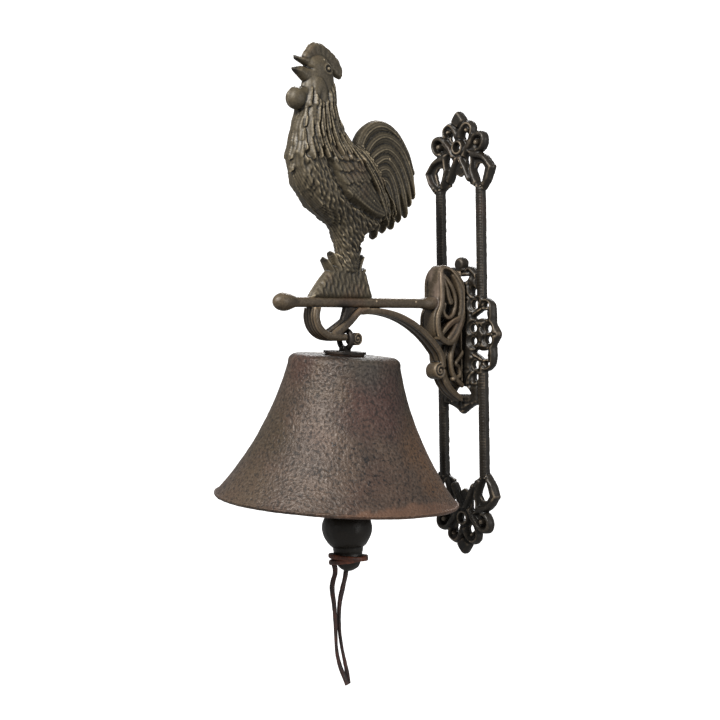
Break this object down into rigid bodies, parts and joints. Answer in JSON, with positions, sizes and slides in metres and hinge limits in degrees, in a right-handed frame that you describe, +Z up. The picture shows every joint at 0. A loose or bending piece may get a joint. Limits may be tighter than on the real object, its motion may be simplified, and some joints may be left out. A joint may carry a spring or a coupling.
{
  "type": "wall mounted bell",
  "caption": "Cast iron dinner bell that hangs from a scrolled wall bracket with a rooster figure on its arm, an openwork wall plate, and a clapper with a leather pull lace.",
  "frame": {"origin": "middle of the wall plate's back face, which lies against the wall", "axes": "+Z up, +Y into the wall, so the arm stands out along -Y; +X to the right for someone who faces the wall"},
  "size_m": [0.1656, 0.2021, 0.4306],
  "materials": {
    "dark_iron": "satin",
    "bell_iron": "satin",
    "steel": "satin",
    "leather": "matte"
  },
  "bodies": {
    "root": {"wall_plate": "dark_iron", "bracket": "dark_iron", "bracket_bolts": "steel", "bracket_washers": "steel", "bracket_nuts": "steel", "rooster": "dark_iron", "rooster_pins": "steel"},
    "bell_body": {"bell": "bell_iron", "bell_eye_bolt": "steel", "crown_washer": "dark_iron", "leather_washer": "leather", "inner_washer": "steel", "inner_nut": "steel", "clapper_eye_nut": "steel"},
    "link_body": {"clapper_link": "steel"},
    "clapper_body": {"clapper_rod": "steel", "clapper_ball": "dark_iron", "lace_hitch": "leather", "lace_left": "leather", "lace_right": "leather"}
  },
  "joints": [
    {"name": "bell_swing", "type": "hinge", "parent": "root", "child": "bell_body", "pos_m": [0, -0.1168, -0.0027], "axis": [0, 1, 0], "range_deg": [-28, 19]},
    {"name": "clapper_swing", "type": "hinge", "parent": "bell_body", "child": "link_body", "pos_m": [-0.00298, -0.11756, -0.04497], "axis": [1, 0, 0], "range_deg": [-39, 36]},
    {"name": "clapper_sway", "type": "hinge", "parent": "link_body", "child": "clapper_body", "pos_m": [-0.00298, -0.11756, -0.05897], "axis": [0, 1, 0], "range_deg": [-8, 8]}
  ]
}
